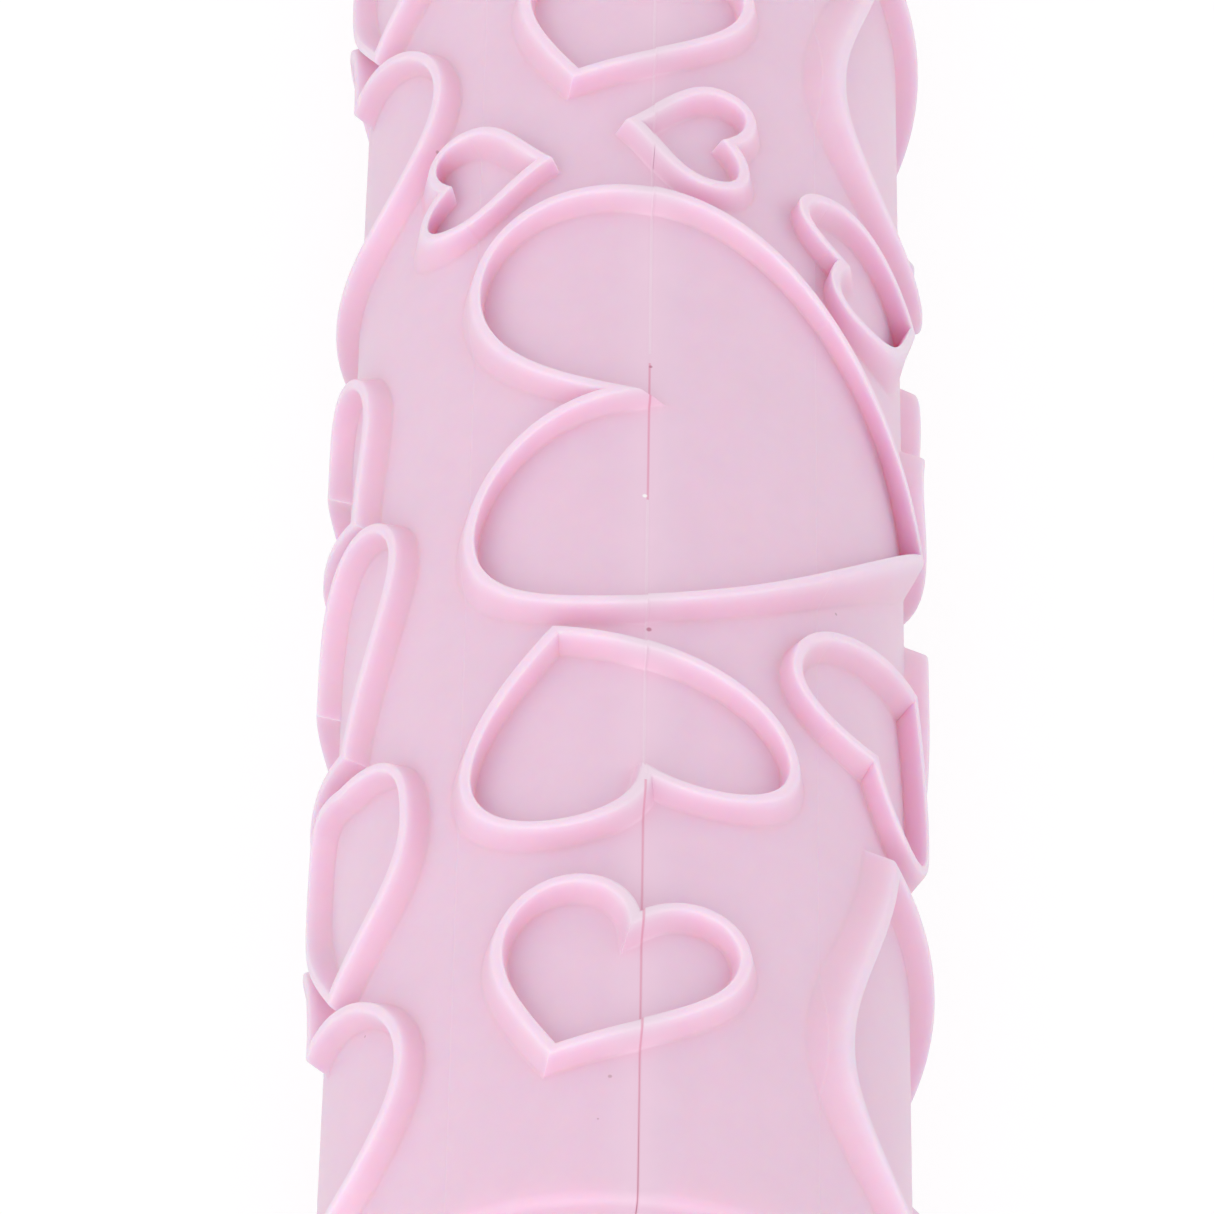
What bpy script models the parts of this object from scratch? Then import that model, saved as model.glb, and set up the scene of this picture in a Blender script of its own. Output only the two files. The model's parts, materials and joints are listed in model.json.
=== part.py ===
"""Embossed rolling pin: a hollow moulded barrel with raised heart outlines, turning on a steel axle.

The pin's axis is X, with the near handle at +X. Z is up, and the barrel's seam runs along its top and
bottom, so its two halves lie at +Y and -Y. The origin is the middle of the pin, on its axis.
"""

from math import cos, pi, radians, sin

import bmesh
import bpy
import numpy as np
from mathutils import Matrix, Vector

MM = 0.001

# Overall sizes
BARREL_LENGTH = 210 * MM
BARREL_RADIUS = 22.5 * MM
HANDLE_LENGTH = 75 * MM
AXLE_RADIUS = 4 * MM

# Clearances and the overrun of every cutter
FIT_GAP = 0.3 * MM
SEAM_GAP = 0.3 * MM
OVERRUN = 1 * MM

# Colours, as red, green, blue
PINK = (0.80, 0.55, 0.70)
DEEP_PINK = (0.75, 0.47, 0.63)
WHITE_NYLON = (0.86, 0.85, 0.82)
STEEL = (0.60, 0.60, 0.61)


def clear_scene():
    for old in list(bpy.data.objects):
        bpy.data.objects.remove(old, do_unlink=True)


def new_collection(name):
    made = bpy.data.collections.new(name)
    bpy.context.scene.collection.children.link(made)
    return made


def new_material(name, colour, roughness, metallic):
    made = bpy.data.materials.new(name)
    made.use_nodes = True
    shader = made.node_tree.nodes["Principled BSDF"]
    shader.inputs["Base Color"].default_value = (*colour, 1.0)
    shader.inputs["Roughness"].default_value = roughness
    shader.inputs["Metallic"].default_value = metallic
    made.diffuse_color = (*colour, 1.0)
    return made


def new_object(name, data, collection, material=None, parent=None):
    made = bpy.data.objects.new(name, data)
    collection.objects.link(made)
    if material:
        data.materials.append(material)
    made.parent = parent
    return made


def smooth_round(mesh, sharp_angle=radians(35)):
    mesh.shade_smooth()
    mesh.set_sharp_from_angle(angle=sharp_angle)


def along_pin(end):
    """Turns a shape made about Z onto the pin's axis, with its top at +X for end 1 and at -X for end -1."""
    return Matrix.Rotation(end * pi / 2, 4, "Y")


def evaluated_mesh(source):
    """The object's mesh with its modifiers applied."""
    graph = bpy.context.evaluated_depsgraph_get()
    return bpy.data.meshes.new_from_object(source.evaluated_get(graph))


def turned(name, profile, steps, end, collection, material=None, parent=None, on_axis=False):
    """An outline of (radius, place along) turned once round the pin's axis.

    It runs down the outer side, from the larger place along to the smaller, and back up the bore. It is
    closed, or on_axis says that its two ends lie on the axis.
    """
    mesh = bpy.data.meshes.new(name)
    points = [(radius, 0, along) for radius, along in profile]
    count = len(points)
    edges = [(i, (i + 1) % count) for i in range(count - on_axis)]
    mesh.from_pydata(points, edges, [])
    made = new_object(name, mesh, collection, material, parent)
    made.matrix_world = along_pin(end)
    screw = made.modifiers.new("Turn", "SCREW")
    screw.axis = "Z"
    screw.angle = 2 * pi
    screw.steps = steps
    screw.render_steps = steps
    screw.use_merge_vertices = on_axis
    screw.merge_threshold = FIT_GAP / 100
    screw.use_smooth_shade = True
    return made


def quarter_round(radius, centre_radius, centre_along, start, corners=2):
    """Points of a quarter circle about a place of the profile, from the angle start, turning clockwise."""
    angles = [start - pi / 2 * i / corners for i in range(corners + 1)]
    return [(centre_radius + radius * cos(a), centre_along + radius * sin(a)) for a in angles]


def cylinder_mesh(name, radius, depth, sides):
    mesh = bpy.data.meshes.new(name)
    made = bmesh.new()
    bmesh.ops.create_cone(
        made, cap_ends=True, segments=sides, radius1=radius, radius2=radius, depth=depth
    )
    made.to_mesh(mesh)
    made.free()
    return mesh


def box_mesh(name, size):
    mesh = bpy.data.meshes.new(name)
    made = bmesh.new()
    bmesh.ops.create_cube(made, size=1, matrix=Matrix.Diagonal((*size, 1)))
    made.to_mesh(mesh)
    made.free()
    return mesh


def add_boolean(target, operation, operand):
    cut = target.modifiers.new(operation.title(), "BOOLEAN")
    cut.operation = operation
    cut.solver = "EXACT"
    if isinstance(operand, bpy.types.Collection):
        cut.operand_type = "COLLECTION"
        cut.collection = operand
    else:
        cut.object = operand
    return cut


def as_cutter(made):
    made.hide_render = True
    made.display_type = "WIRE"
    return made


clear_scene()
parts = new_collection("embossed_rolling_pin")
cutters = new_collection("cutters")
pink_plastic = new_material("pink_plastic", PINK, 0.42, 0.0)
grip_plastic = new_material("grip_plastic", PINK, 0.45, 0.0)
cap_plastic = new_material("cap_plastic", DEEP_PINK, 0.40, 0.0)
nylon = new_material("nylon", WHITE_NYLON, 0.50, 0.0)
bright_steel = new_material("bright_steel", STEEL, 0.28, 1.0)
zinc_steel = new_material("zinc_steel", STEEL, 0.38, 1.0)

handle_group = bpy.data.objects.new("handle_group", None)
parts.objects.link(handle_group)
barrel_spin = bpy.data.objects.new("barrel_spin", None)
parts.objects.link(barrel_spin)
barrel_spin.parent = handle_group

# Barrel shell: a hollow turned body with a wall across each end, a short neck outside each wall that the
# end cap clamps, and inner ribs that carry the rolling load between the halves.
BARREL_WALL = 2.4 * MM
END_WALL = 2.5 * MM
END_ROUNDING = 0.9 * MM
NECK_LENGTH = 4 * MM
NECK_WALL = 2.9 * MM
BUSH_WALL = 2 * MM
RIB_COUNT = 2
RIB_THICKNESS = 4 * MM
RIB_BORE_CLEARANCE = 5 * MM
BARREL_SIDES = 48

bush_bore = AXLE_RADIUS + FIT_GAP
bush_radius = bush_bore + BUSH_WALL
neck_bore_radius = bush_radius + FIT_GAP
neck_radius = neck_bore_radius + NECK_WALL
rib_bore_radius = AXLE_RADIUS + RIB_BORE_CLEARANCE
half_length = BARREL_LENGTH / 2
inner_radius = BARREL_RADIUS - BARREL_WALL
inner_half = half_length - END_WALL
neck_end = half_length + NECK_LENGTH
rib_pitch = BARREL_LENGTH / (RIB_COUNT + 1)
rib_places = [rib_pitch * (i + 1) - half_length for i in range(RIB_COUNT)]


def barrel_profile():
    """The shell's section: the near neck, the outer side, the far neck, then the bore with its ribs."""
    edge = BARREL_RADIUS - END_ROUNDING
    near_edge = quarter_round(END_ROUNDING, edge, half_length - END_ROUNDING, pi / 2)
    far_edge = quarter_round(END_ROUNDING, edge, END_ROUNDING - half_length, 0)
    outside = [(neck_bore_radius, neck_end), (neck_radius, neck_end), (neck_radius, half_length)]
    outside += near_edge + far_edge
    outside += [(neck_radius, -half_length), (neck_radius, -neck_end), (neck_bore_radius, -neck_end)]
    inside = [(neck_bore_radius, -inner_half), (inner_radius, -inner_half)]
    for place in rib_places:
        low, high = place - RIB_THICKNESS / 2, place + RIB_THICKNESS / 2
        inside += [(inner_radius, low), (rib_bore_radius, low)]
        inside += [(rib_bore_radius, high), (inner_radius, high)]
    inside += [(inner_radius, inner_half), (neck_bore_radius, inner_half)]
    return outside + inside


plain_barrel = turned("plain_barrel", barrel_profile(), BARREL_SIDES, 1, cutters)

# Embossing: each raised ridge follows the outline of a heart. Half of the outline is swept flat with a
# drafted section, cut at the heart's own axis so that the notch and the tip are mitred, mirrored, and
# wrapped round the barrel. The pattern repeats along the pin.
PATTERN_REPEAT = 104 * MM
END_MARGIN = 0.3 * MM
RIDGE_HEIGHT = 2 * MM
RIDGE_FOOT_WIDTH = 2.7 * MM
RIDGE_CREST_WIDTH = 0.8 * MM
RIDGE_ROOT_DEPTH = 0.5 * MM
LOBE_STEP_LENGTH = 2.4 * MM
LEAST_LOBE_STEPS = 4
MOST_LOBE_STEPS = 9

# The unit heart: its half width is about 1 and its tip is at -1 on its own axis. A kind of heart is the
# place of its notch, the place of its widest part, and how steeply its sides rise from the tip, in degrees.
notch_lean = radians(69)
notch_pull_share = 0.62
lobe_width_share = 1.0
lobe_rise_share = 0.67
lobe_fall_share = 0.54
tip_pull_share = 0.62
plain = (0.45, 0.35, 53)
blunt = (0.51, 0.31, 41)

# Each heart: its kind, degrees round from the top seam, place from the near end in shares of the repeat,
# degrees of turn, half width and half length in shares of the barrel's radius, and the slant of its axis.
heart_shares = [
    (blunt, -6, 0.198, -15, 0.38, 0.39, 0.12),
    (blunt, -5, 0.435, 198, 0.54, 0.46, -0.12),
    (plain, 19, 0.770, 89, 1.01, 1.08, -0.02),
    (plain, -35, 1.036, 84, 0.24, 0.24, -0.04),
    (plain, 8, 1.060, 265, 0.24, 0.21, 0.07),
    (plain, 51, 0.990, 116, 0.28, 0.31, 0.25),
    (blunt, 54, 0.522, 150, 0.42, 0.37, -0.02),
    (plain, 84, 0.244, 201, 0.88, 0.83, -0.24),
    (blunt, -96, 0.184, -46, 0.83, 0.73, -0.06),
    (blunt, -68, 0.379, -17, 0.38, 0.47, -0.30),
    (plain, -84, 0.596, 31, 0.69, 0.50, -0.08),
    (plain, -84, 0.829, 29, 0.42, 0.47, -0.15),
    (plain, 110, 0.926, 66, 0.62, 0.50, -0.12),
    (plain, 113, 0.628, -6, 0.54, 0.53, 0.00),
    (plain, 182, 0.895, 160, 0.54, 0.50, -0.05),
    (blunt, 177, 0.440, 150, 0.42, 0.40, 0.00),
    (plain, 191, 0.630, -50, 0.48, 0.46, 0.06),
    (blunt, 201, 0.230, 75, 0.42, 0.42, -0.06),
    (blunt, 161, 0.090, 20, 0.27, 0.27, 0.00),
]


def cubic(start, leave, arrive, finish, count):
    """Points of a cubic curve after its start, down to its finish."""
    shares = [(i + 1) / count for i in range(count)]
    return [
        (1 - t) ** 3 * start + 3 * t * (1 - t) ** 2 * leave + 3 * t * t * (1 - t) * arrive + t**3 * finish
        for t in shares
    ]


def half_heart_curve(kind, width, length):
    """The right half of a heart as a flat open curve, run on past the notch and the tip."""
    notch_share, lobe_place_share, tip_lean_degrees = kind
    tip_lean = radians(tip_lean_degrees)
    notch = Vector((0, notch_share * length, 0))
    notch_way = Vector((cos(notch_lean) * width, sin(notch_lean) * length, 0))
    lobe = Vector((lobe_width_share * width, lobe_place_share * length, 0))
    tip = Vector((0, -length, 0))
    tip_way = Vector((cos(tip_lean) * width, sin(tip_lean) * length, 0))
    rise = Vector((0, lobe_rise_share * length, 0))
    fall = Vector((0, -lobe_fall_share * length, 0))
    run_on = 2 * RIDGE_FOOT_WIDTH
    lobe_steps = min(MOST_LOBE_STEPS, max(LEAST_LOBE_STEPS, round(length / LOBE_STEP_LENGTH)))
    side_steps = lobe_steps - 2
    path = [notch - run_on * notch_way.normalized(), notch]
    path += cubic(notch, notch + notch_pull_share * notch_way, lobe + rise, lobe, lobe_steps)
    path += cubic(lobe, lobe + fall, tip + tip_pull_share * tip_way, tip, side_steps)
    path += [tip - run_on * tip_way.normalized()]
    curve = bpy.data.curves.new("half_heart", "CURVE")
    curve.dimensions = "2D"
    curve.fill_mode = "NONE"
    spline = curve.splines.new("POLY")
    spline.points.add(len(path) - 1)
    for point, place in zip(spline.points, path):
        point.co = (*place, 1)
    return curve


def ridge_section():
    """The ridge's drafted section as a closed curve, with its root below the barrel's surface."""
    draft = (RIDGE_FOOT_WIDTH - RIDGE_CREST_WIDTH) / 2 / RIDGE_HEIGHT
    root = RIDGE_FOOT_WIDTH / 2 + draft * RIDGE_ROOT_DEPTH
    crest = RIDGE_CREST_WIDTH / 2
    corners = [(-root, -RIDGE_ROOT_DEPTH), (root, -RIDGE_ROOT_DEPTH)]
    corners += [(crest, RIDGE_HEIGHT), (-crest, RIDGE_HEIGHT)]
    curve = bpy.data.curves.new("ridge_section", "CURVE")
    curve.dimensions = "2D"
    curve.fill_mode = "NONE"
    spline = curve.splines.new("POLY")
    spline.points.add(len(corners) - 1)
    spline.use_cyclic_u = True
    for point, (across, up) in zip(spline.points, corners):
        point.co = (across, up, 0, 1)
    return new_object("ridge_section", curve, cutters)


def flat_heart(kind, width, length, section):
    """A whole raised heart outline lying flat, as a bmesh."""
    curve = half_heart_curve(kind, width, length)
    curve.bevel_mode = "OBJECT"
    curve.bevel_object = section
    curve.use_fill_caps = True
    swept = new_object("half_heart", curve, cutters)
    bpy.context.view_layer.update()
    mesh = evaluated_mesh(swept)
    bpy.data.objects.remove(swept)
    weld = FIT_GAP / 100
    heart = bmesh.new()
    heart.from_mesh(mesh)
    bmesh.ops.remove_doubles(heart, verts=heart.verts, dist=weld)
    bmesh.ops.bisect_plane(
        heart,
        geom=heart.verts[:] + heart.edges[:] + heart.faces[:],
        plane_co=(0, 0, 0),
        plane_no=(1, 0, 0),
        dist=weld / 10,
        clear_inner=True,
    )
    for vert in heart.verts:
        if vert.co.x < weld:
            vert.co.x = 0
    bmesh.ops.mirror(
        heart, geom=heart.verts[:] + heart.edges[:] + heart.faces[:], merge_dist=weld / 10, axis="X"
    )
    bmesh.ops.recalc_face_normals(heart, faces=heart.faces)
    return heart


def wrapped_heart(name, heart, angle, along, turn, slant):
    """Slants and turns the flat heart and bends it round the barrel: a mesh, or None past an end."""
    mesh = bpy.data.meshes.new(name)
    heart.to_mesh(mesh)
    flat = np.empty(len(mesh.vertices) * 3)
    mesh.vertices.foreach_get("co", flat)
    across, up, out = flat.reshape(-1, 3).T
    across = across + slant * up
    round_way = across * cos(turn) - up * sin(turn)
    far_way = across * sin(turn) + up * cos(turn)
    place = along - far_way
    if place.max() > half_length - END_MARGIN or place.min() < END_MARGIN - half_length:
        return None
    bend = angle + round_way / BARREL_RADIUS
    reach = BARREL_RADIUS + out
    bent = np.stack([place, reach * np.sin(bend), reach * np.cos(bend)], axis=1)
    mesh.vertices.foreach_set("co", bent.ravel())
    mesh.update()
    return mesh


def emboss_all():
    """The ridges of every repeat that fits on the barrel, in a collection of their own."""
    hearts = bpy.data.collections.new("hearts")
    cutters.children.link(hearts)
    section = ridge_section()
    repeats = int(BARREL_LENGTH / PATTERN_REPEAT) + 1
    for row, (kind, angle, place, turn, width, length, slant) in enumerate(heart_shares):
        flat = flat_heart(kind, width * BARREL_RADIUS, length * BARREL_RADIUS, section)
        for repeat in range(-1, repeats):
            along = half_length - (place + repeat) * PATTERN_REPEAT
            name = f"heart_{row}_{repeat + 1}"
            mesh = wrapped_heart(name, flat, radians(angle), along, radians(turn), slant)
            if mesh:
                as_cutter(new_object(name, mesh, hearts))
        flat.free()
    bpy.data.objects.remove(section)
    return hearts


heart_ridges = emboss_all()
join = add_boolean(plain_barrel, "UNION", heart_ridges)
bpy.context.view_layer.update()
embossed_mesh = evaluated_mesh(plain_barrel)
embossed_mesh.transform(plain_barrel.matrix_world)
bpy.data.objects.remove(plain_barrel)

# Barrel halves: the embossed barrel parted along the seam. The pegs of the right half stand in the ribs
# and enter the sockets of the left half.
PEG_RADIUS = 1 * MM
PEG_REACH = 2.2 * MM
PEG_ROOT = 1.5 * MM
PEG_SIDES = 10
peg_ring_radius = (rib_bore_radius + inner_radius) / 2


def seam_box(side):
    """Everything beyond the seam gap, on the side away from the half that is kept."""
    reach = BARREL_RADIUS + RIDGE_HEIGHT + OVERRUN
    size = (2 * (neck_end + OVERRUN), reach, 2 * reach)
    made = new_object(f"beyond_seam_{side}", box_mesh("beyond_seam", size), cutters)
    made.location.y = -side * (reach - SEAM_GAP) / 2
    return as_cutter(made)


def seam_pins(name, radius, depth, start):
    """One joined mesh of pins across the seam, at the top and bottom of each rib, in a collection."""
    group = bpy.data.collections.new(name)
    cutters.children.link(group)
    for number, place in enumerate(rib_places):
        for up in (1, -1):
            mesh = cylinder_mesh(name, radius, depth, PEG_SIDES)
            pin = new_object(f"{name}_{number}_{up}", mesh, group)
            pin.location = (place, start + depth / 2, up * peg_ring_radius)
            pin.rotation_euler.x = pi / 2
            as_cutter(pin)
    return group


def barrel_half(name, side):
    mesh = embossed_mesh.copy()
    mesh.name = name
    made = new_object(name, mesh, parts, pink_plastic, barrel_spin)
    add_boolean(made, "DIFFERENCE", seam_box(side))
    return made


right_half = barrel_half("barrel_half_right", 1)
left_half = barrel_half("barrel_half_left", -1)
peg_face = SEAM_GAP / 2
pegs = seam_pins("peg", PEG_RADIUS, PEG_ROOT + PEG_REACH, peg_face - PEG_REACH)
socket_depth = PEG_REACH + FIT_GAP
sockets = seam_pins("socket", PEG_RADIUS + FIT_GAP, socket_depth + OVERRUN, peg_face - socket_depth)
add_boolean(right_half, "UNION", pegs)
add_boolean(left_half, "DIFFERENCE", sockets)

# Bearing bushes: flanged nylon sleeves in the necks, with the flange inside the end wall.
BUSH_LIP = 2 * MM
BUSH_FLANGE_THICKNESS = 1.8 * MM
BUSH_SIDES = 24

bush_flange_radius = neck_bore_radius + BUSH_LIP
bush_flange_outer = inner_half - FIT_GAP
bush_flange_inner = bush_flange_outer - BUSH_FLANGE_THICKNESS

for label, end in (("near", 1), ("far", -1)):
    bush_profile = [
        (bush_radius, neck_end),
        (bush_radius, bush_flange_outer),
        (bush_flange_radius, bush_flange_outer),
        (bush_flange_radius, bush_flange_inner),
        (bush_bore, bush_flange_inner),
        (bush_bore, neck_end),
    ]
    turned(f"bearing_bush_{label}", bush_profile, BUSH_SIDES, end, parts, nylon, barrel_spin)

# Barrel end caps: cups that clamp both halves' necks together and keep the bush in.
CAP_SKIRT = 2.4 * MM
CAP_FACE = 2 * MM
CAP_ROUNDING = 1 * MM
CAP_SIDES = 28

cap_skirt_bore = neck_radius + FIT_GAP
cap_radius = cap_skirt_bore + CAP_SKIRT
cap_inner_face = neck_end + FIT_GAP
cap_outer_face = cap_inner_face + CAP_FACE
cap_hole = bush_bore + FIT_GAP
cap_foot = half_length + FIT_GAP

for label, end in (("near", 1), ("far", -1)):
    cap_profile = [
        *quarter_round(CAP_ROUNDING, cap_radius - CAP_ROUNDING, cap_outer_face - CAP_ROUNDING, pi / 2),
        (cap_radius, cap_foot),
        (cap_skirt_bore, cap_foot),
        (cap_skirt_bore, cap_inner_face),
        (cap_hole, cap_inner_face),
        (cap_hole, cap_outer_face),
    ]
    turned(f"barrel_end_cap_{label}", cap_profile, CAP_SIDES, end, parts, cap_plastic, barrel_spin)

# Thrust washers: steel rings between the turning caps and the grips.
WASHER_RADIUS = 8.5 * MM
WASHER_THICKNESS = 1 * MM
WASHER_SIDES = 20

washer_bore = AXLE_RADIUS + FIT_GAP
washer_inner_face = cap_outer_face + FIT_GAP
washer_outer_face = washer_inner_face + WASHER_THICKNESS


def washer_profile(radius, bore, inner_face, outer_face):
    return [(radius, outer_face), (radius, inner_face), (bore, inner_face), (bore, outer_face)]


for label, end in (("near", 1), ("far", -1)):
    ring = washer_profile(WASHER_RADIUS, washer_bore, washer_inner_face, washer_outer_face)
    turned(f"thrust_washer_{label}", ring, WASHER_SIDES, end, parts, zinc_steel, handle_group)

# Grips: turned handles with a bore for the axle and a pocket for its nut, open at the outer end.
GRIP_COLLAR_RADIUS = 11.5 * MM
GRIP_WAIST_RADIUS = 9.6 * MM
GRIP_BELLY_RADIUS = 13.5 * MM
GRIP_END_RADIUS = 11 * MM
GRIP_ROUNDING = 1.5 * MM
NUT_ACROSS_CORNERS = 14 * MM
POCKET_CLEARANCE = 1 * MM
POCKET_DEPTH = 24 * MM
GRIP_SIDES = 24
GRIP_POINTS = 9

pocket_radius = NUT_ACROSS_CORNERS / 2 + POCKET_CLEARANCE
grip_start = washer_outer_face + FIT_GAP
grip_end = grip_start + HANDLE_LENGTH
pocket_floor = grip_end - POCKET_DEPTH
waist_place_share = 0.16
belly_place_share = 0.62


def blend(low, high, share):
    """A smooth step from low to high as share goes from 0 to 1."""
    return low + (high - low) * (1 - cos(pi * share)) / 2


def grip_radius(share):
    """The grip's radius at a share of its length from the barrel."""
    if share < waist_place_share:
        return blend(GRIP_COLLAR_RADIUS, GRIP_WAIST_RADIUS, share / waist_place_share)
    if share < belly_place_share:
        span = belly_place_share - waist_place_share
        return blend(GRIP_WAIST_RADIUS, GRIP_BELLY_RADIUS, (share - waist_place_share) / span)
    return blend(GRIP_BELLY_RADIUS, GRIP_END_RADIUS, (share - belly_place_share) / (1 - belly_place_share))


def grip_profile():
    low = GRIP_ROUNDING / HANDLE_LENGTH
    shares = [1 - low - (1 - 2 * low) * i / GRIP_POINTS for i in range(GRIP_POINTS + 1)]
    side = [(grip_radius(share), grip_start + share * HANDLE_LENGTH) for share in shares]
    outer = side[0][0] - GRIP_ROUNDING
    inner = side[-1][0] - GRIP_ROUNDING
    outer_edge = quarter_round(GRIP_ROUNDING, outer, side[0][1], pi / 2)
    inner_edge = quarter_round(GRIP_ROUNDING, inner, side[-1][1], 0)
    bore = [
        (washer_bore, grip_start),
        (washer_bore, pocket_floor),
        (pocket_radius, pocket_floor),
        (pocket_radius, grip_end),
    ]
    return outer_edge[:-1] + side + inner_edge[1:] + bore


for label, end in (("near", 1), ("far", -1)):
    turned(f"handle_grip_{label}", grip_profile(), GRIP_SIDES, end, parts, grip_plastic, handle_group)

# Clamp washers: steel rings on the pocket floors, under the nuts.
CLAMP_WASHER_LIP = 0.2 * MM
CLAMP_WASHER_THICKNESS = 1.2 * MM

clamp_washer_radius = NUT_ACROSS_CORNERS / 2 + CLAMP_WASHER_LIP
clamp_inner_face = pocket_floor + FIT_GAP
clamp_outer_face = clamp_inner_face + CLAMP_WASHER_THICKNESS

for label, end in (("near", 1), ("far", -1)):
    ring = washer_profile(clamp_washer_radius, washer_bore, clamp_inner_face, clamp_outer_face)
    turned(f"clamp_washer_{label}", ring, WASHER_SIDES, end, parts, zinc_steel, handle_group)

# Lock nuts: hexagon nuts on the axle's ends.
NUT_HEIGHT = 6 * MM
NUT_CHAMFER = 0.5 * MM

nut_inner_face = clamp_outer_face + FIT_GAP
nut_outer_face = nut_inner_face + NUT_HEIGHT

for label, end in (("near", 1), ("far", -1)):
    nut_mesh = cylinder_mesh(f"lock_nut_{label}", NUT_ACROSS_CORNERS / 2, NUT_HEIGHT, 6)
    nut = new_object(f"lock_nut_{label}", nut_mesh, parts, zinc_steel, handle_group)
    nut.matrix_world = along_pin(end) @ Matrix.Translation((0, 0, (nut_inner_face + nut_outer_face) / 2))
    chamfer = nut.modifiers.new("Chamfer", "BEVEL")
    chamfer.width = NUT_CHAMFER
    chamfer.segments = 1
    chamfer.limit_method = "ANGLE"
    chamfer.angle_limit = radians(75)
    hole_mesh = cylinder_mesh("nut_hole", washer_bore, NUT_HEIGHT + 2 * OVERRUN, WASHER_SIDES)
    hole = as_cutter(new_object(f"nut_hole_{label}", hole_mesh, cutters))
    hole.matrix_world = nut.matrix_world
    add_boolean(nut, "DIFFERENCE", hole)

# Axle: one steel rod through the barrel and both grips, chamfered at its ends.
AXLE_STANDS_PROUD = 2.5 * MM
AXLE_CHAMFER = 0.6 * MM
AXLE_SIDES = 24

axle_length = 2 * (nut_outer_face + AXLE_STANDS_PROUD)
axle_mesh = cylinder_mesh("axle_rod", AXLE_RADIUS, axle_length, AXLE_SIDES)
axle = new_object("axle_rod", axle_mesh, parts, bright_steel, handle_group)
axle.matrix_world = along_pin(1)
chamfer = axle.modifiers.new("Chamfer", "BEVEL")
chamfer.width = AXLE_CHAMFER
chamfer.segments = 1
chamfer.limit_method = "ANGLE"
chamfer.angle_limit = radians(60)

# Handle end plugs: round stoppers with a flat outer face, pushed into the grips' pockets.
PLUG_LIP = 1.4 * MM
PLUG_FLANGE_THICKNESS = 2.4 * MM
PLUG_ROUNDING = 1.2 * MM
PLUG_WALL = 1.6 * MM
PLUG_DEPTH = 8 * MM
PLUG_SIDES = 20

plug_flange_radius = pocket_radius + PLUG_LIP
plug_seat = grip_end + FIT_GAP
plug_face = plug_seat + PLUG_FLANGE_THICKNESS
plug_skirt_radius = pocket_radius - FIT_GAP
plug_foot = plug_seat - PLUG_DEPTH


def plug_profile():
    """Half the section of a cup: down its rim and skirt from the middle of its face, then back inside."""
    rim_radius = plug_flange_radius - PLUG_ROUNDING
    rim = quarter_round(PLUG_ROUNDING, rim_radius, plug_face - PLUG_ROUNDING, pi / 2)
    skirt_bore = plug_skirt_radius - PLUG_WALL
    points = [(0, plug_face), *rim, (plug_flange_radius, plug_seat), (plug_skirt_radius, plug_seat)]
    points += [(plug_skirt_radius, plug_foot), (skirt_bore, plug_foot)]
    return points + [(skirt_bore, plug_seat), (0, plug_seat)]


for label, end in (("near", 1), ("far", -1)):
    name = f"handle_end_plug_{label}"
    turned(name, plug_profile(), PLUG_SIDES, end, parts, grip_plastic, handle_group, on_axis=True)

for made in parts.objects:
    if made.type == "MESH":
        smooth_round(made.data)
bpy.context.view_layer.update()
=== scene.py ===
import json
from math import cos, pi, radians, sin, tan

import bmesh
import bpy
import numpy as np
from mathutils import Euler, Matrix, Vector

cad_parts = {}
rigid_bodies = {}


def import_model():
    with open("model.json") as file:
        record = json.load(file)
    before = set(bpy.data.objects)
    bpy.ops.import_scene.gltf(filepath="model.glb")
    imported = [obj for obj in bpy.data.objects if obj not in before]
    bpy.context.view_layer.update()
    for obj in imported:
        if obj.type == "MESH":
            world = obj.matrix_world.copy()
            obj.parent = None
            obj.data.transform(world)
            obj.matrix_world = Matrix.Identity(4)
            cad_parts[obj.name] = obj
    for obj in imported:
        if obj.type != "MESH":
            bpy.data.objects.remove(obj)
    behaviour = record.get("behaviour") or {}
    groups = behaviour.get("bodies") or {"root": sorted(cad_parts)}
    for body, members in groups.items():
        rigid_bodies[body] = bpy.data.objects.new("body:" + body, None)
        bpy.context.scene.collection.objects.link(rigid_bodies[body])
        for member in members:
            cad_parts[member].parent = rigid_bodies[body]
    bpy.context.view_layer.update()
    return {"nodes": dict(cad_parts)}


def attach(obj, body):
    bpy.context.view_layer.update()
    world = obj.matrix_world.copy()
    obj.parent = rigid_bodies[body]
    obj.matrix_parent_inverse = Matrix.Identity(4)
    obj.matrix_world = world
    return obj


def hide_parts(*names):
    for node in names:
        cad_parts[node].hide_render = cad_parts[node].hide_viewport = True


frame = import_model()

# The view: a long lens looks down along the pin from beyond its near end, a little left of the seam.
viewpoint = bpy.data.cameras.new("viewpoint")
viewpoint.lens = 240.19
viewpoint.sensor_width = 36
viewpoint_stand = bpy.data.objects.new("viewpoint", viewpoint)
viewpoint_stand.location = (0.472418, -0.034931, 0.477953)
viewpoint_stand.rotation_euler = Euler((radians(42.9343), radians(-4.7436), radians(90.7940)))
bpy.context.scene.collection.objects.link(viewpoint_stand)
bpy.context.scene.camera = viewpoint_stand

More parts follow.
